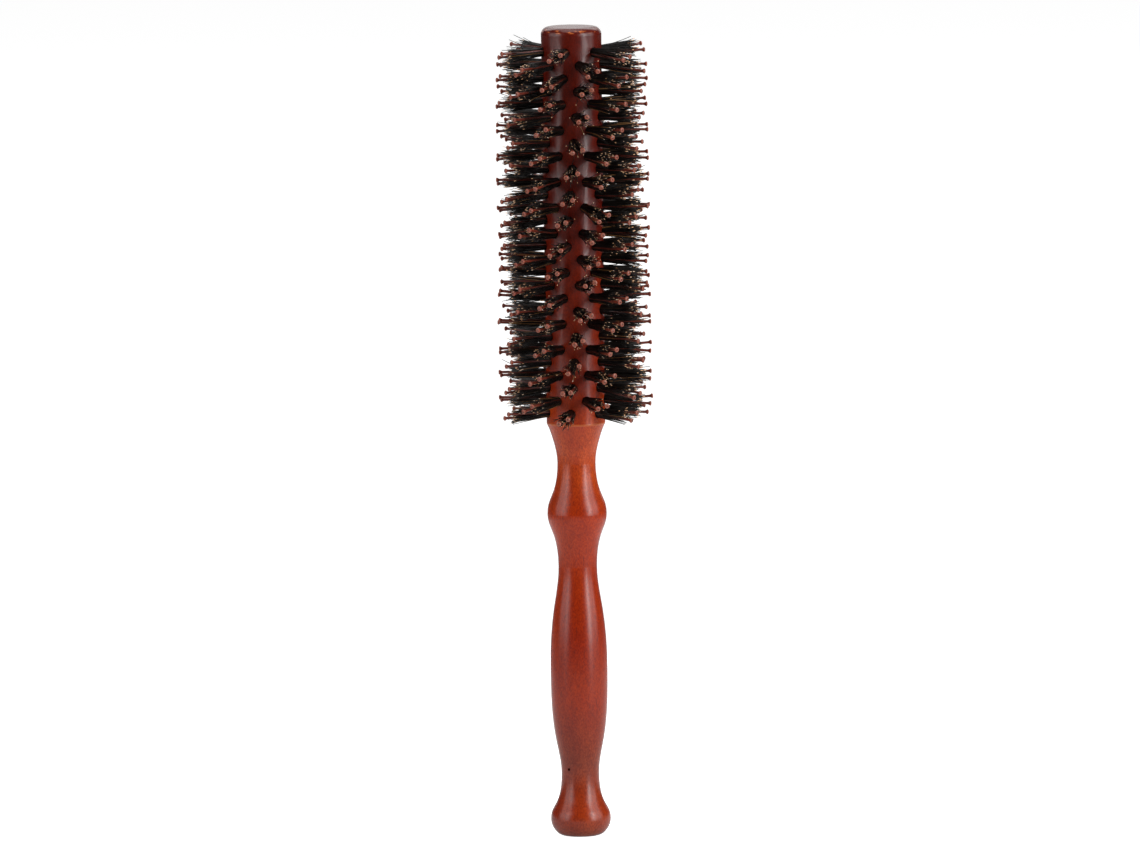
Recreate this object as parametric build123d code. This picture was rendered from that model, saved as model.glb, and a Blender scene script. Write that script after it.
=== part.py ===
from build123d import *
import math
import os

# A round hair brush. One turned wooden body carries the handle and the barrel. Each hole
# in the barrel holds a doubled tuft of bristle, a doubled nylon filament whose two headed
# ends are the long pins, and a strip of flat wire that anchors both in the hole.
#
# Millimetres and degrees. The origin is the centre of the handle's flat end, +Z runs up
# the brush's axis, and -Y is the front.

# ---- Turned body ----
LENGTH = 230.0
FOOT_R = 5.2  # the flat end that the brush stands on
BULB_R, BULB_Z = 8.5, 4.8
LOW_NECK_R, LOW_NECK_Z = 5.35, 17.6
GRIP_R, GRIP_Z = 8.1, 47.2
HIGH_NECK_R, HIGH_NECK_Z = 5.45, 76.8
BEAD_R, BEAD_Z = 8.4, 91.9
COLLAR_NECK_R, COLLAR_NECK_Z = 5.4, 106.2
COLLAR_R, COLLAR_Z = 8.3, 117.6  # the sharp corner where the barrel begins
BARREL_END_R = 8.55
END_ROUND = 2.2
DRIP_HOLE_R, DRIP_HOLE_DEPTH = 0.4, 3.0  # a pinhole in the lower neck
DRIP_HOLE_Z, DRIP_HOLE_TURN = 19.2, -37.0

# ---- Layout of the tufts ----
ROWS = 12
LONG_ROW = 15  # tufts in every other row; the rows between have one fewer
PITCH = 7.31  # along a row
TOP_TUFT_Z = 223.1
FIRST_ROW_TURN = 47.5  # of the first row's top tuft, from the front towards +X
TWIST = 0.561  # degrees that a row turns for each millimetre of height

# ---- One tuft hole and what it holds; distances out from the brush's axis ----
HOLE_R, HOLE_FLOOR = 1.4, 3.4
TUFT_R, TUFT_FLOOR = 1.35, 3.42
TUFT_FLARE_FROM = 8.3
TUFT_TIP_R, TUFT_RIM = 2.4, 17.4
CROWN_R, TUFT_CROWN = 2.0, 18.7
PAIR_TILT = 24.0  # of the line through a pair of pins, up from the level
PIN_R = 0.38
PIN_TIP, PIN_SPREAD = 21.8, 1.65  # the heads' distance out, and each one's from the tuft's axis
BEND_AT, BEND_R = 4.75, 0.6
CHANNEL_GAP = 0.05  # round the filament's legs, inside the tuft
FOLD_POCKET = (1.5, 2.1, 0.9)  # the tuft's room for the filament's bend
HEAD_R, HEAD_LENGTH = 0.70, 1.0
HEAD_RIM_FROM, HEAD_RIM_TO = 0.26, 0.42
DIMPLE_R, DIMPLE_FLOOR_R, DIMPLE_DEPTH = 0.28, 0.14, 0.12
ANCHOR_LENGTH, ANCHOR_THICKNESS = 2.76, 0.3
ANCHOR_FROM, ANCHOR_TO = 4.68, 5.98
WINDOW_THICKNESS, WINDOW_MARGIN = 0.5, 0.14  # the tuft's opening round the anchor

UP = (0, 0, 1)


def at(radius, height):
    """A point of the turned outline, which lies in the XZ plane."""
    return Vector(radius, 0, height)


def sweep_of_curve(low, middle, high):
    """The outline between a hollow and a swell, upright at both."""
    return Spline(low, middle, high, tangents=[UP, UP])


def turned_outline():
    """Half of the body's section, from the foot to the rounded end of the barrel."""
    bulb = at(BULB_R, BULB_Z)
    low_neck = at(LOW_NECK_R, LOW_NECK_Z)
    grip = at(GRIP_R, GRIP_Z)
    high_neck = at(HIGH_NECK_R, HIGH_NECK_Z)
    bead = at(BEAD_R, BEAD_Z)
    collar_neck = at(COLLAR_NECK_R, COLLAR_NECK_Z)
    collar = at(COLLAR_R, COLLAR_Z)
    end_low = at(BARREL_END_R, LENGTH - END_ROUND)
    end_high = at(BARREL_END_R - END_ROUND, LENGTH)
    middle = END_ROUND * math.sin(math.radians(45))
    end_middle = at(BARREL_END_R - END_ROUND + middle, LENGTH - END_ROUND + middle)
    return [
        Line(at(0, 0), at(FOOT_R, 0)),
        Spline(at(FOOT_R, 0), at(7.45, 1.6), bulb, tangents=[(1, 0, 0.25), UP]),
        sweep_of_curve(bulb, at(6.9, 9.2), low_neck),
        sweep_of_curve(low_neck, at(6.75, 27.2), grip),
        sweep_of_curve(grip, at(6.8, 65.4), high_neck),
        sweep_of_curve(high_neck, at(6.95, 86.4), bead),
        sweep_of_curve(bead, at(6.75, 97.8), collar_neck),
        Spline(collar_neck, at(6.35, 112.2), collar, tangents=[UP, (0.5, 0, 1)]),
        Line(collar, end_low),
        ThreePointArc(end_low, end_middle, end_high),
        Line(end_high, at(0, LENGTH)),
        Line(at(0, LENGTH), at(0, 0)),
    ]


def tuft_places(row):
    """Where a row's tufts stand: each place's own +X runs out along its tuft."""
    half_step = row % 2
    places = []
    for tuft in range(LONG_ROW - half_step):
        drop = PITCH * (tuft + half_step / 2)
        turn = FIRST_ROW_TURN - 90 - row * 360 / ROWS - TWIST * drop
        places.append(Location((0, 0, TOP_TUFT_Z - drop), (0, 0, turn)))
    return places


def copies(solid, places):
    """The same solid at each place, kept as separate solids."""
    return Compound(children=[place * solid for place in places])


def along_x(solid, start):
    """Lays a solid drawn along +Z out along +X, beginning at start."""
    return Location((start, 0, 0), (0, 90, 0)) * solid


def tuft_hole():
    """The drilled hole, long enough to break out of the barrel."""
    depth = BARREL_END_R + 1 - HOLE_FLOOR
    drill = Cylinder(HOLE_R, depth, align=(Align.CENTER, Align.CENTER, Align.MIN))
    return along_x(drill, HOLE_FLOOR)


def drip_hole():
    """The pinhole near the handle's end, drilled square to the wood."""
    drill = Cylinder(DRIP_HOLE_R, 2 * DRIP_HOLE_DEPTH)
    turn = DRIP_HOLE_TURN - 90
    return Location((0, 0, DRIP_HOLE_Z), (0, 0, turn)) * along_x(drill, LOW_NECK_R)


def wooden_body():
    """The turned body with a hole for every tuft."""
    body = revolve(make_face(turned_outline()), Axis.Z)
    holes = [place * tuft_hole() for row in range(ROWS) for place in tuft_places(row)]
    return body - holes - drip_hole()


def leg_angle():
    """How far each leg of the filament leans away from the tuft's axis."""
    run = PIN_TIP - BEND_AT
    slope = math.atan2(PIN_SPREAD, run)
    return math.degrees(slope - math.asin(BEND_R / math.hypot(run, PIN_SPREAD)))


def leg_plane(side):
    """A plane whose +Z runs out along one leg, from the end of the bend."""
    lean = math.radians(leg_angle())
    start = Vector(BEND_AT - BEND_R * math.sin(lean), side * BEND_R * math.cos(lean), 0)
    outward = Vector(math.cos(lean), side * math.sin(lean), 0)
    return Plane(origin=start, x_dir=UP, z_dir=outward)


def leg_length():
    """From the bend to the pin's tip."""
    lean = math.radians(leg_angle())
    start = BEND_AT - BEND_R * math.sin(lean)
    return (PIN_TIP - start) / math.cos(lean)


def leg_outline():
    """Half section of a leg that flares into a flat head with a dimple in its end."""
    tip = leg_length()
    neck = at(PIN_R, tip - HEAD_LENGTH)
    rim_low = at(HEAD_R, tip - HEAD_RIM_TO)
    rim_high = at(HEAD_R, tip - HEAD_RIM_FROM)
    dimple_edge = at(DIMPLE_R, tip)
    dimple_floor = at(DIMPLE_FLOOR_R, tip - DIMPLE_DEPTH)
    return make_face(
        [
            Line(at(0, 0), at(PIN_R, 0)),
            Line(at(PIN_R, 0), neck),
            Spline(neck, rim_low, tangents=[UP, (1, 0, 0.35)]),
            Line(rim_low, rim_high),
            Spline(rim_high, dimple_edge, tangents=[UP, (-1, 0, 0)]),
            Line(dimple_edge, dimple_floor),
            Line(dimple_floor, at(0, dimple_floor.Z)),
            Line(at(0, dimple_floor.Z), at(0, 0)),
        ]
    )


def pin_pair():
    """One nylon filament, doubled under the anchor, with a head on each end."""
    leg = revolve(leg_outline(), Axis.Z)
    bend_axis = Axis((BEND_AT, 0, 0), (0, 0, 1))
    bend = revolve(leg_plane(1) * Circle(PIN_R), bend_axis, 180 - 2 * leg_angle())
    return Rotation(PAIR_TILT, 0, 0) * (bend + [leg_plane(side) * leg for side in (1, -1)])


def anchor_middle():
    """The middle of the strip of flat wire, out along the tuft's axis."""
    return Location(((ANCHOR_FROM + ANCHOR_TO) / 2, 0, 0))


def anchor():
    """The strip of flat wire that lies across the hole, in the filament's bend."""
    strip = Box(ANCHOR_TO - ANCHOR_FROM, ANCHOR_THICKNESS, ANCHOR_LENGTH)
    return Rotation(PAIR_TILT, 0, 0) * (anchor_middle() * strip)


def bristle_tuft():
    """The tuft's outer shape, with room in it for the filament and the anchor."""
    outline = Polyline(
        (TUFT_FLOOR, 0),
        (TUFT_FLOOR, TUFT_R),
        (TUFT_FLARE_FROM, TUFT_R),
        (TUFT_RIM, TUFT_TIP_R),
        (TUFT_CROWN, CROWN_R),
        (TUFT_CROWN, 0),
        close=True,
    )
    channel = Cylinder(
        PIN_R + CHANNEL_GAP, leg_length(), align=(Align.CENTER, Align.CENTER, Align.MIN)
    )
    pocket_from = BEND_AT - BEND_R - PIN_R - CHANNEL_GAP
    window_length = ANCHOR_TO - ANCHOR_FROM + 2 * WINDOW_MARGIN
    room = [
        leg_plane(1) * channel,
        leg_plane(-1) * channel,
        Location((pocket_from + FOLD_POCKET[0] / 2, 0, 0)) * Box(*FOLD_POCKET),
        anchor_middle() * Box(window_length, WINDOW_THICKNESS, 4 * TUFT_R),
    ]
    return Rotation(PAIR_TILT, 0, 0) * (revolve(make_face(outline), Axis.X) - room)


def write(node, shape):
    """Writes one node's STEP file and prints what it holds."""
    export_step(shape, f"parts/{node}.step")
    print(node, len(shape.solids()), "solids", round(sum(s.volume for s in shape.solids())), "mm3")


def main():
    os.makedirs("parts", exist_ok=True)
    write("wooden_body", wooden_body())
    tuft, pins, strip = bristle_tuft(), pin_pair(), anchor()
    for row in range(ROWS):
        places = tuft_places(row)
        write(f"bristle_row_{row + 1:02d}", copies(tuft, places))
        write(f"nylon_pin_row_{row + 1:02d}", copies(pins, places))
        write(f"anchor_row_{row + 1:02d}", copies(strip, places))


main()
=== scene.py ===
import math
import random

import bpy
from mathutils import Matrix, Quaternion, Vector


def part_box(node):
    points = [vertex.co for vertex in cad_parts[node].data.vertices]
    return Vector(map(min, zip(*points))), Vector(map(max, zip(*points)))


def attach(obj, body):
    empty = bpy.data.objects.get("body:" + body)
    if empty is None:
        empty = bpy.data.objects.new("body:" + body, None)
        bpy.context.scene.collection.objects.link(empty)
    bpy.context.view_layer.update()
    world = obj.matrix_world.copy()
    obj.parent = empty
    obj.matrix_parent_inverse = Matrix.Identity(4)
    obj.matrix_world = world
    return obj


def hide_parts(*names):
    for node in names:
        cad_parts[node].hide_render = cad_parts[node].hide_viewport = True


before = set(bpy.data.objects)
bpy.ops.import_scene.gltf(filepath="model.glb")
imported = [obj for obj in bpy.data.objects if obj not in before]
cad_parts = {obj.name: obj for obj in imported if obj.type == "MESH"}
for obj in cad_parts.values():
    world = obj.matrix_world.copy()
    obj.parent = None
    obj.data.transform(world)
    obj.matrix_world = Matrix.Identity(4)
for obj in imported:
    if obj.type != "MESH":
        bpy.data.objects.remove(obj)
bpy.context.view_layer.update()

# A round hair brush: turned, lacquered wood with spiral rows of bristle tufts, each with a
# pair of headed nylon pins. The materials and the studio are in metres. The tufts are worked
# out in millimetres, and MM turns those into metres when a mesh is made.
MM = 0.001
ROWS = 12
BODY = "root"
BARREL_R = 8.4  # millimetres; further out, bristles and pins are free to lean
UP = Vector((0.0, 0.0, 1.0))

random.seed(1204)


def add_object(name, data):
    """Puts an object into the scene, at the origin."""
    made = bpy.data.objects.new(name, data)
    bpy.context.scene.collection.objects.link(made)
    return made


# ---------------------------------------------------------------- node helpers
class Nodes:
    """A material's node tree, with short calls for what the materials below use."""

    def __init__(self, name):
        self.material = bpy.data.materials.new(name)
        self.material.use_nodes = True
        self.tree = self.material.node_tree
        self.shader = self.tree.nodes["Principled BSDF"]

    def set(self, socket, value):
        """A constant on one of the shader's own sockets."""
        self.shader.inputs[socket].default_value = value

    def link(self, source, target):
        self.tree.links.new(source, target)

    def add(self, kind, **values):
        node = self.tree.nodes.new(kind)
        for name, value in values.items():
            setattr(node, name, value)
        return node

    def where(self):
        """Object coordinates, which are metres in the brush's own frame."""
        return self.add("ShaderNodeTexCoord").outputs["Object"]

    def split(self, vector):
        """A vector's X, Y and Z."""
        node = self.add("ShaderNodeSeparateXYZ")
        self.link(vector, node.inputs["Vector"])
        return node.outputs

    def along_tube(self):
        """A tube's UV: U, which runs along it, as X, and V, which tells tubes apart, as Y."""
        return self.split(self.add("ShaderNodeUVMap", uv_map=UV_LAYER).outputs["UV"])

    def noise(self, scale, detail, roughness=0.55):
        """Noise with about scale[0] features to a metre along X, and so on for Y and Z."""
        stretch = self.add("ShaderNodeMapping")
        stretch.inputs["Scale"].default_value = scale
        self.link(self.where(), stretch.inputs["Vector"])
        node = self.add("ShaderNodeTexNoise")
        node.inputs["Scale"].default_value = 1.0
        node.inputs["Detail"].default_value = detail
        node.inputs["Roughness"].default_value = roughness
        self.link(stretch.outputs["Vector"], node.inputs["Vector"])
        return node.outputs["Fac"]

    def ramp(self, factor, *stops):
        node = self.add("ShaderNodeValToRGB")
        marks = node.color_ramp.elements
        while len(marks) < len(stops):
            marks.new(0.5)
        for mark, (position, colour) in zip(marks, stops):
            mark.position = position
            mark.color = (*colour, 1.0)
        self.link(factor, node.inputs["Fac"])
        return node.outputs["Color"]

    def grey(self, factor, black, white):
        """Black at one value and white at the other, in either order."""
        stops = sorted([(black, (0, 0, 0)), (white, (1, 1, 1))])
        return self.ramp(factor, *stops)

    def mix(self, blend, factor, first, second):
        node = self.add("ShaderNodeMix", data_type="RGBA", blend_type=blend)
        for socket, value in (("Factor", factor), ("A", first), ("B", second)):
            target = [i for i in node.inputs if i.name == socket and i.enabled][0]
            if isinstance(value, bpy.types.NodeSocket):
                self.link(value, target)
            elif isinstance(value, tuple):
                target.default_value = (*value, 1.0)
            else:
                target.default_value = value
        return [o for o in node.outputs if o.enabled][0]

    def shade(self, share, colour, factor, *stops):
        """A colour multiplied by a ramp, which may also brighten it."""
        return self.mix("MULTIPLY", share, colour, self.ramp(factor, *stops))

    def math(self, operation, first, second=0.0):
        node = self.add("ShaderNodeMath", operation=operation)
        for target, value in zip(node.inputs, (first, second)):
            if isinstance(value, bpy.types.NodeSocket):
                self.link(value, target)
            else:
                target.default_value = value
        return node.outputs["Value"]

    def bump(self, height, distance, strength):
        node = self.add("ShaderNodeBump")
        node.inputs["Distance"].default_value = distance
        node.inputs["Strength"].default_value = strength
        self.link(height, node.inputs["Height"])
        self.link(node.outputs["Normal"], self.shader.inputs["Normal"])

    def colour(self, source):
        self.link(source, self.shader.inputs["Base Color"])


# ---------------------------------------------------------------- materials
COLLAR_Z, COLLAR_WEAR = 0.1176, 0.0002  # an edge with worn lacquer, and half the wear's width
RIM_DROP, RIM_WEAR = 0.0010, 0.0003  # the same for the end's rim, measured down from the top
PORE_DEPTH, WIRE_MARK_DEPTH = 0.00006, 0.00002


def wear_band(nodes, height, middle, half_width):
    """1 within half_width of a height, fading to 0 over the same width again."""
    away = nodes.math("ABSOLUTE", nodes.math("SUBTRACT", height, middle))
    widths = nodes.math("DIVIDE", away, 4 * half_width)
    return nodes.ramp(widths, (0.25, (1, 1, 1)), (0.5, (0, 0, 0)))


def wood_material():
    """Red-brown lacquer over close-grained wood, deep at the barrel's end and warmer below, with the
    band at the collar lifted as a painted reflection of the pale table.
    """
    nodes = Nodes("lacquered_wood")
    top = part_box("wooden_body")[1].z
    height = nodes.split(nodes.where())["Z"]
    # The lacquer's colour by height, darker towards the barrel's end. The stops at 0.48 and 0.52, round
    # the collar, are partly painted light: that band is lightened as a painted reflection of the pale
    # table.
    stain_and_painted_reflection = nodes.ramp(
        nodes.math("DIVIDE", height, top),
        (0.00, (0.170, 0.022, 0.008)),
        (0.03, (0.260, 0.020, 0.002)),
        (0.09, (0.190, 0.022, 0.007)),
        (0.17, (0.270, 0.018, 0.001)),
        (0.40, (0.330, 0.022, 0.001)),
        (0.48, (0.440, 0.050, 0.008)),
        (0.52, (0.390, 0.036, 0.005)),
        (0.56, (0.230, 0.015, 0.002)),
        (0.72, (0.165, 0.010, 0.002)),
        (0.80, (0.100, 0.005, 0.001)),
        (1.00, (0.090, 0.004, 0.001)),
    )
    clouds = nodes.noise((85.0, 85.0, 24.0), detail=4.0, roughness=0.6)
    stain_and_painted_reflection = nodes.shade(0.7, stain_and_painted_reflection, clouds, (0.34, (0.65, 0.45, 0.5)), (0.68, (1.2, 1.6, 1.3)))
    mottle = nodes.noise((2400.0, 2400.0, 1500.0), detail=3.0, roughness=0.7)
    stain_and_painted_reflection = nodes.shade(0.6, stain_and_painted_reflection, mottle, (0.36, (0.55, 0.45, 0.4)), (0.64, (1.4, 1.65, 1.5)))
    pores = nodes.noise((2600.0, 2600.0, 500.0), detail=1.0)
    pits = nodes.math("MULTIPLY", nodes.grey(pores, 0.62, 0.72), 0.4)
    stain_and_painted_reflection = nodes.mix("MIX", pits, stain_and_painted_reflection, (0.07, 0.008, 0.005))
    chips = nodes.grey(nodes.noise((420.0, 420.0, 1600.0), detail=3.0), 0.58, 0.64)
    rim = nodes.math("MULTIPLY", wear_band(nodes, height, top - RIM_DROP, RIM_WEAR), chips)
    collar = nodes.math("MULTIPLY", wear_band(nodes, height, COLLAR_Z, COLLAR_WEAR), 0.6)
    bare_wood = (0.50, 0.12, 0.03)
    nodes.colour(nodes.mix("MIX", nodes.math("MAXIMUM", rim, collar), stain_and_painted_reflection, bare_wood))
    nodes.set("Roughness", 0.26)
    nodes.set("Specular IOR Level", 0.35)
    nodes.set("Coat Weight", 0.05)
    nodes.set("Coat Roughness", 0.2)
    nodes.bump(nodes.mix("MIX", 0.5, mottle, pores), PORE_DEPTH, 0.3)
    return nodes.material


def bristle_material():
    """Black bristle with golden tips, lightened to near white as a painted highlight, and a few
    bristles golden all along.
    U is 0 at the root and 1 at the tip."""
    nodes = Nodes("boar_bristle")
    tube = nodes.along_tube()
    which = nodes.math("FLOOR", nodes.math("MULTIPLY", tube["Y"], BRISTLE_BANDS))
    chance = nodes.add("ShaderNodeTexWhiteNoise", noise_dimensions="1D")
    nodes.link(which, chance.inputs["W"])
    shaft = nodes.ramp(
        chance.outputs["Value"],
        (0.00, (0.004, 0.003, 0.003)),
        (0.92, (0.010, 0.007, 0.005)),
        (0.97, (0.300, 0.150, 0.055)),
    )
    # The tips' colour: golden, and lifted up to near white as a painted highlight of light catching
    # them.
    end = nodes.ramp(
        chance.outputs["Value"],
        (0.66, (0.012, 0.008, 0.005)),
        (0.72, (0.45, 0.20, 0.08)),
        (0.82, (1.00, 0.58, 0.32)),
        (1.00, (1.00, 0.84, 0.68)),
    )
    nodes.colour(nodes.mix("MIX", nodes.grey(tube["X"], 0.95, 0.97), shaft, end))
    nodes.set("Roughness", 0.42)
    nodes.set("Specular IOR Level", 0.25)
    return nodes.material


def nylon_material():
    """Translucent reddish nylon, with a painted glow of light through the head's domed rim, painted
    shade in its dimple, and darker along the shaft towards the bend. U is 0 at the tip and 1 at the
    bend."""
    nodes = Nodes("nylon")
    # Along the pin: the dimple's darker centre is painted shade, the pale band round U 0.12 to 0.20 is
    # a painted glow of light through the rim, and the shaft darkens towards the bend.
    base = nodes.ramp(
        nodes.along_tube()["X"],
        (0.00, (0.13, 0.030, 0.016)),
        (0.07, (0.17, 0.040, 0.021)),
        (0.12, (0.30, 0.085, 0.050)),
        (0.20, (0.26, 0.064, 0.036)),
        (0.35, (0.16, 0.028, 0.015)),
        (1.00, (0.09, 0.012, 0.006)),
    )
    cloud = nodes.noise((900.0, 900.0, 900.0), detail=2.0)
    nodes.colour(nodes.shade(0.5, base, cloud, (0.3, (0.75, 0.75, 0.75)), (0.7, (1.2, 1.2, 1.2))))
    nodes.set("Roughness", 0.3)
    nodes.set("Subsurface Weight", 0.25)
    nodes.set("Subsurface Radius", (0.0012, 0.0005, 0.0003))
    nodes.set("Subsurface Scale", 1.0)
    return nodes.material


def wire_material():
    """Drawn brass wire, a little dulled."""
    nodes = Nodes("anchor_wire")
    drawn = nodes.noise((400.0, 400.0, 4000.0), detail=2.0)
    nodes.colour(nodes.ramp(drawn, (0.3, (0.42, 0.27, 0.09)), (0.7, (0.66, 0.46, 0.18))))
    nodes.set("Metallic", 1.0)
    nodes.set("Roughness", 0.35)
    nodes.bump(drawn, WIRE_MARK_DEPTH, 0.4)
    return nodes.material


# ---------------------------------------------------------------- tubes
UV_LAYER = "OFBake"
ROOM_IN_BAND = 0.9  # how much of its band of V a tube takes up


class Tubes:
    """Collects closed tubes into one mesh, with a UV along and across each of them."""

    def __init__(self):
        self.points = []
        self.faces = []
        self.uvs = []

    def add(self, path, radii, across, sides, marks, band, bands):
        """One tube through the path's points. radii and marks give the radius and the U at
        each of them. Each ring's first point lies towards across, which is any direction off
        the path. V is cut into equal bands, and the tube's V stays within one of them."""
        low_v, v_step = band / bands, ROOM_IN_BAND / bands / sides
        first = len(self.points)
        for i, centre in enumerate(path):
            before = path[max(i - 1, 0)]
            after = path[min(i + 1, len(path) - 1)]
            along = (after - before).normalized()
            side = (across - across.dot(along) * along).normalized()
            other = along.cross(side)
            for k in range(sides):
                turn = 2 * math.pi * k / sides
                outward = math.cos(turn) * side + math.sin(turn) * other
                self.points.append(centre + radii[i] * outward)
        for i in range(len(path) - 1):
            near, far = marks[i], marks[i + 1]
            for k in range(sides):
                a = first + i * sides + k
                b = first + i * sides + (k + 1) % sides
                low, high = low_v + v_step * k, low_v + v_step * (k + 1)
                self.faces.append((a, b, b + sides, a + sides))
                self.uvs += [(near, low), (near, high), (far, high), (far, low)]
        for ring, order in ((0, reversed(range(sides))), (len(path) - 1, range(sides))):
            self.faces.append(tuple(first + ring * sides + k for k in order))
            self.uvs += [(marks[ring], low_v)] * sides

    def mesh(self, name, material):
        """One object of all the tubes so far."""
        data = bpy.data.meshes.new(name)
        data.from_pydata([p * MM for p in self.points], [], self.faces)
        layer = data.uv_layers.new(name=UV_LAYER)
        layer.data.foreach_set("uv", [value for uv in self.uvs for value in uv])
        data.polygons.foreach_set("use_smooth", [True] * len(data.polygons))
        data.materials.append(material)
        return add_object(name, data)


# ---------------------------------------------------------------- tufts
PAIR_TILT = math.radians(24.0)  # of the line through a pair of pins, up from the level
TUFT_GAP = 2.5  # millimetres of height without an anchor between one tuft and the next


class Tuft:
    """Where a tuft's axis leaves the brush's axis, and its three directions: out along the
    tuft, along the line through its pair of pins, and along its anchor's wire."""

    def __init__(self, anchor):
        middle = sum(anchor, Vector()) / len(anchor)
        self.height = middle.z
        self.out = Vector((middle.x, middle.y, 0.0)).normalized()
        self.pair = math.cos(PAIR_TILT) * UP.cross(self.out) + math.sin(PAIR_TILT) * UP
        self.wire = self.out.cross(self.pair)

    def at(self, out, pair=0.0, wire=0.0):
        return self.height * UP + out * self.out + pair * self.pair + wire * self.wire


def tufts_of(row):
    """Reads a row's tufts from its anchors, which lie one above another."""
    points = [v.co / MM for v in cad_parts[f"anchor_row_{row:02d}"].data.vertices]
    points.sort(key=lambda p: p.z)
    groups = [[points[0]]]
    for point in points[1:]:
        if point.z - groups[-1][-1].z > TUFT_GAP:
            groups.append([])
        groups[-1].append(point)
    return [Tuft(group) for group in groups]


# ---------------------------------------------------------------- bristles
# Lengths are in millimetres and leans are slopes. A SPREAD is the standard deviation of a
# random draw.
BRISTLES_PER_TUFT = 96
BRISTLE_BANDS = 32
BRISTLE_SIDES = 3
BRISTLE_STEPS = 6
BRISTLE_R, BRISTLE_TAPER = 0.13, 0.3  # the taper is the share of the radius lost at the tip
BRISTLE_ROOT, BRISTLE_TIP = 6.2, 19.0  # from the brush's axis
TUFT_LENGTH_SPREAD = 0.35
TIP_BACK, TIP_SPREAD = 0.3, 0.75  # how far short of its tuft's length a bristle ends
CROWN = 0.5  # how much shorter the bristles at the hole's edge are
HOLE_R, PACKING = 1.32, 0.93  # the packing is the share of the radius that the roots fill
GOLDEN_ANGLE = math.pi * (3 - math.sqrt(5))
TURN_JITTER = 0.3  # radians
FAN = (0.3, 1.05)  # how much further apart the tips are than the roots, as a share
PAIR_FAN = 0.35  # what is added to that along the pair of pins, so that the tuft covers them
DRIFT_SPREAD = 0.4  # how far a tip wanders
STRAY_SHARE, STRAY_DRIFT = 0.05, 3.5  # a stray bristle wanders this many times as far
STRAY_LENGTH = (-1.5, 0.8)  # what is added to its length
LEAN_UP_SPREAD, LEAN_ALONG_SPREAD = 0.045, 0.03
LOW_END, LOW_DROOP = 0.15, 0.04  # the share of a row whose tufts droop, and the slope at its end
TOP_END, TOP_DROOP = 0.07, 0.07


def tuft_lean(tuft, heights):
    """A tuft's own lean: a little at random, and downwards at both ends of a row."""
    low, high = heights
    share = (tuft.height - low) / (high - low)
    droop = LOW_DROOP * max(0.0, 1 - share / LOW_END)
    droop += TOP_DROOP * max(0.0, 1 - (1 - share) / TOP_END)
    up = random.gauss(0.0, LEAN_UP_SPREAD) - droop
    return up * UP + random.gauss(0.0, LEAN_ALONG_SPREAD) * tuft.pair


def add_bristles(tubes, tuft, lean):
    """One tuft of bristles, packed in the hole and fanning out towards ragged tips."""
    reach = BRISTLE_TIP - BARREL_R
    shares = [step / (BRISTLE_STEPS - 1) for step in range(BRISTLE_STEPS)]
    radii = [BRISTLE_R * (1 - BRISTLE_TAPER * share ** 2) for share in shares]
    tuft_length = random.gauss(0.0, TUFT_LENGTH_SPREAD)
    for i in range(BRISTLES_PER_TUFT):
        radius = HOLE_R * PACKING * math.sqrt((i + 0.5) / BRISTLES_PER_TUFT)
        turn = i * GOLDEN_ANGLE + random.uniform(-TURN_JITTER, TURN_JITTER)
        pair, wire = radius * math.cos(turn), radius * math.sin(turn)
        fan = random.uniform(*FAN)
        tip = BRISTLE_TIP + tuft_length + random.gauss(-TIP_BACK, TIP_SPREAD)
        tip -= CROWN * (radius / HOLE_R) ** 2
        drift = Vector((random.gauss(0.0, DRIFT_SPREAD), random.gauss(0.0, DRIFT_SPREAD)))
        if random.random() < STRAY_SHARE:
            drift *= STRAY_DRIFT
            tip += random.uniform(*STRAY_LENGTH)
        path = []
        for share in shares:
            out = BRISTLE_ROOT + (tip - BRISTLE_ROOT) * share
            free = max(0.0, out - BARREL_R)
            opening = free / reach
            along_pair = pair * (1 + (fan + PAIR_FAN) * opening) + drift.x * opening ** 2
            along_wire = wire * (1 + fan * opening) + drift.y * opening ** 2
            path.append(tuft.at(out, along_pair, along_wire) + free * lean)
        band = random.randrange(BRISTLE_BANDS)
        tubes.add(path, radii, tuft.wire, BRISTLE_SIDES, shares, band, BRISTLE_BANDS)


# ---------------------------------------------------------------- nylon pins
PIN_R = 0.37
PIN_TIP, PIN_SPREAD = 21.7, 1.65  # from the brush's axis, and from the tuft's axis
TIP_ERROR = (-0.35, 0.1)  # what is added to a pin's length
BEND_AT, BEND_R = 4.75, 0.6  # the bend's centre, from the brush's axis
OWN_LEAN_SPREAD = 0.02
PIN_SIDES = 14
PIN_BANDS = 16
HEAD = (  # distance back from the tip, and radius
    (0.13, 0.02), (0.09, 0.16), (0.01, 0.28), (0.02, 0.42),  # a dimple and its edge
    (0.10, 0.58), (0.20, 0.67), (0.30, 0.70), (0.42, 0.68),  # the domed rim
    (0.52, 0.60), (0.66, 0.50), (0.84, 0.42), (1.10, PIN_R),  # the flare to the shaft
)
HEAD_U = 0.4  # the U at the end of the flare
SHAFT_STEPS = 6
BEND_STEPS = 6


def leg_outline(tip):
    """A leg's (distance back from the tip, radius, U), from its tip to the bend."""
    flare_end = HEAD[-1][0]
    shaft = tip - BEND_AT - flare_end
    outline = [(*HEAD[i], HEAD_U * i / (len(HEAD) - 1)) for i in range(len(HEAD))]
    for step in range(1, SHAFT_STEPS + 1):
        share = step / SHAFT_STEPS
        outline.append((flare_end + shaft * share, PIN_R, HEAD_U + (1 - HEAD_U) * share))
    return outline


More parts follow.
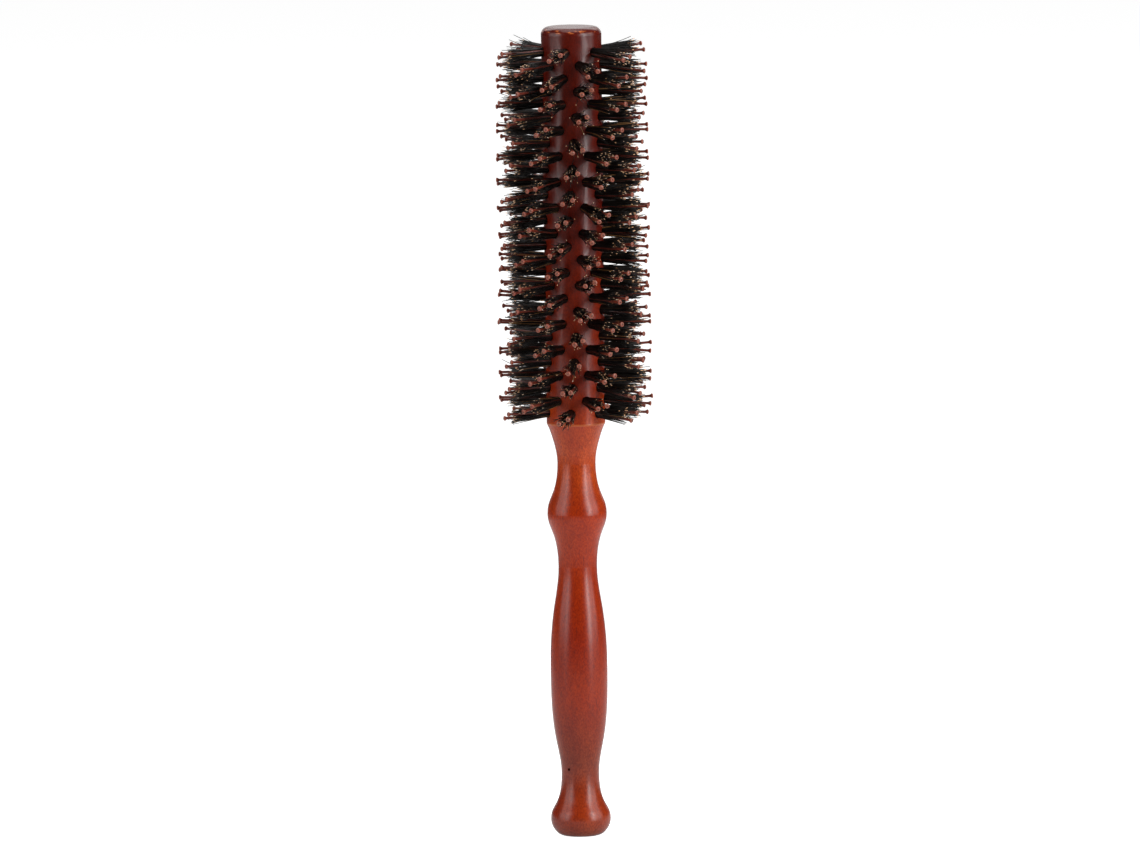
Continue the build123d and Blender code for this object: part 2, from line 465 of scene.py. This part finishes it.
def leg(tuft, side, lean, bow):
    """One leg from its tip to the bend, as (point, radius, U)."""
    slope = (PIN_SPREAD - BEND_R) / (PIN_TIP - BEND_AT)
    tip = PIN_TIP + random.uniform(*TIP_ERROR)
    stations = []
    for back, radius, mark in leg_outline(tip):
        out = tip - back
        free = max(0.0, out - BARREL_R)
        point = tuft.at(out, side * (BEND_R + slope * (out - BEND_AT)))
        point += free * lean + free * free / (PIN_TIP - BARREL_R) * bow
        stations.append((point, radius, mark))
    return stations


def own_lean(tuft):
    """The lean of one pin alone, which it takes on by bowing outside the barrel."""
    up = random.gauss(0.0, OWN_LEAN_SPREAD)
    return up * UP + random.gauss(0.0, OWN_LEAN_SPREAD) * tuft.pair


def add_pins(tubes, tuft, lean):
    """One doubled filament: a headed leg, the bend under the anchor, and the other leg."""
    bows = [own_lean(tuft), own_lean(tuft)]
    legs = [leg(tuft, side, lean, bow) for side, bow in zip((1, -1), bows)]
    bend = []
    for step in range(1, BEND_STEPS):
        turn = math.pi * step / BEND_STEPS
        point = tuft.at(BEND_AT - BEND_R * math.sin(turn), BEND_R * math.cos(turn))
        bend.append((point, PIN_R, 1.0))
    path, radii, marks = zip(*legs[0], *bend, *reversed(legs[1]))
    band = random.randrange(PIN_BANDS)
    tubes.add(path, radii, tuft.wire, PIN_SIDES, marks, band, PIN_BANDS)


# ---------------------------------------------------------------- the brush
def dress(node, material):
    """Gives a carried-over CAD node its finish."""
    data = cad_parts[node].data
    data.materials.clear()
    data.materials.append(material)


def build_row(row, bristle, nylon):
    """The row's bristles and pins as two meshes, in place of its CAD solids."""
    tufts = tufts_of(row)
    heights = (tufts[0].height, tufts[-1].height)
    bristles, pins = Tubes(), Tubes()
    for tuft in tufts:
        lean = tuft_lean(tuft, heights)
        add_bristles(bristles, tuft, lean)
        add_pins(pins, tuft, lean)
    for name, tubes, material, slot in (
        ("bristle_row", bristles, bristle, "boar_bristle"),
        ("nylon_pin_row", pins, nylon, "nylon"),
    ):
        piece = tubes.mesh(f"{name}_{row:02d}_fine", material)
        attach(piece, BODY)
        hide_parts(f"{name}_{row:02d}")


def build_brush():
    dress("wooden_body", wood_material())
    bristle, nylon, wire = bristle_material(), nylon_material(), wire_material()
    for row in range(1, ROWS + 1):
        dress(f"anchor_row_{row:02d}", wire)
        build_row(row, bristle, nylon)


# ---------------------------------------------------------------- studio
VIEW_HEIGHT = 0.2418  # metres of the brush's plane that the picture's height takes in
ASPECT = 1140 / 855
CAMERA_DISTANCE = 4.0
CAMERA_RISE = math.radians(6.5)
CAMERA_ROLL = math.radians(0.73)
LOOK_AT = Vector((-0.0017, 0.0, 0.1162))
NEAREST, FURTHEST = 0.1, 200.0  # the range that the camera sees
FLOOR_REACH = 40.0
FLOOR_COLOUR, TABLE_COLOUR = (0.22, 0.22, 0.22), (0.6, 0.6, 0.6)
FLOOR_LIFT = 0.95  # the glow that brings the floor to white in the camera's view
TABLE_R, TABLE_EDGE = 0.40, 0.02  # the edge is half the width of its fade into the floor
TABLE_GLOW = 0.2
WORLD_LIGHT = 0.06
LIGHTS_AIM = Vector((0.0, 0.0, 0.12))
LIGHTS = (  # name, azimuth and rise in degrees, distance, width and height, radiance
    ("softbox_right", 64, 18, 1.5, (1.5, 1.1), 3.0),
    ("strip_right", 52, 18, 1.4, (0.25, 1.1), 8.5),
    ("softbox_left", -66, 18, 1.5, (1.4, 1.1), 2.1),
    ("strip_left", -56, 18, 1.4, (0.25, 1.1), 2.2),
    ("softbox_top", 0, 86, 1.8, (1.4, 1.4), 2.6),
    ("softbox_back", 180, 12, 2.5, (3.0, 0.9), 0.9),
    ("softbox_back_high", 180, 42, 2.2, (3.0, 1.0), 2.4),
)


def floor_material():
    """A pale table round the brush, which shows in the handle's lacquer, on a darker floor.
    Both are lifted to white in the camera's view."""
    nodes = Nodes("studio_floor")
    nodes.set("Roughness", 0.9)
    nodes.set("Specular IOR Level", 0.1)
    nodes.set("Emission Color", (1.0, 1.0, 1.0, 1.0))
    reach = nodes.add("ShaderNodeVectorMath", operation="LENGTH")
    nodes.link(nodes.where(), reach.inputs[0])
    table = nodes.grey(reach.outputs["Value"], TABLE_R + TABLE_EDGE, TABLE_R - TABLE_EDGE)
    nodes.colour(nodes.mix("MIX", table, FLOOR_COLOUR, TABLE_COLOUR))
    seen = nodes.add("ShaderNodeLightPath").outputs["Is Camera Ray"]
    lift = nodes.math("MULTIPLY", seen, FLOOR_LIFT)
    glow = nodes.math("MULTIPLY", table, TABLE_GLOW)
    nodes.link(nodes.math("MAXIMUM", lift, glow), nodes.shader.inputs["Emission Strength"])
    return nodes.material


def area_light(name, azimuth, rise, distance, size, radiance):
    """A soft box that faces the brush; azimuth goes round from the front towards +X."""
    data = bpy.data.lights.new(name, "AREA")
    data.shape = "RECTANGLE"
    data.size, data.size_y = size
    data.energy = math.pi * size[0] * size[1] * radiance
    a, e = math.radians(azimuth), math.radians(rise)
    way = Vector((math.sin(a) * math.cos(e), -math.cos(a) * math.cos(e), math.sin(e)))
    light = add_object(name, data)
    light.location = LIGHTS_AIM + way * distance
    light.rotation_mode = "QUATERNION"
    light.rotation_quaternion = way.to_track_quat("Z", "Y")


def build_floor():
    """A plain square floor at the height of the brush's foot."""
    corners = [(x * FLOOR_REACH, y * FLOOR_REACH, 0.0) for x, y in ((-1, -1), (1, -1), (1, 1), (-1, 1))]
    data = bpy.data.meshes.new("floor")
    data.from_pydata(corners, [], [(0, 1, 2, 3)])
    data.materials.append(floor_material())
    floor = add_object("floor", data)


def build_world():
    """A dim white surround, which the camera sees as plain white."""
    world = bpy.data.worlds.new("studio")
    world.use_nodes = True
    background = world.node_tree.nodes["Background"]
    background.inputs["Color"].default_value = (1.0, 1.0, 1.0, 1.0)
    path = world.node_tree.nodes.new("ShaderNodeLightPath")
    strength = world.node_tree.nodes.new("ShaderNodeMath")
    strength.operation = "MAXIMUM"
    strength.inputs[1].default_value = WORLD_LIGHT
    world.node_tree.links.new(path.outputs["Is Camera Ray"], strength.inputs[0])
    world.node_tree.links.new(strength.outputs["Value"], background.inputs["Strength"])
    bpy.context.scene.world = world


def build_camera():
    data = bpy.data.cameras.new("camera")
    data.lens = data.sensor_width * CAMERA_DISTANCE / (VIEW_HEIGHT * ASPECT)
    data.clip_start, data.clip_end = NEAREST, FURTHEST
    back = Vector((0.0, -math.cos(CAMERA_RISE), math.sin(CAMERA_RISE)))
    camera = add_object("camera", data)
    camera.location = LOOK_AT + back * CAMERA_DISTANCE
    camera.rotation_mode = "QUATERNION"
    level = (-back).to_track_quat("-Z", "Y")
    camera.rotation_quaternion = level @ Quaternion((0.0, 0.0, 1.0), -CAMERA_ROLL)
    bpy.context.scene.camera = camera


build_floor()
build_world()
for light in LIGHTS:
    area_light(*light)
build_camera()
build_brush()
bpy.context.scene.view_settings.view_transform = "Standard"
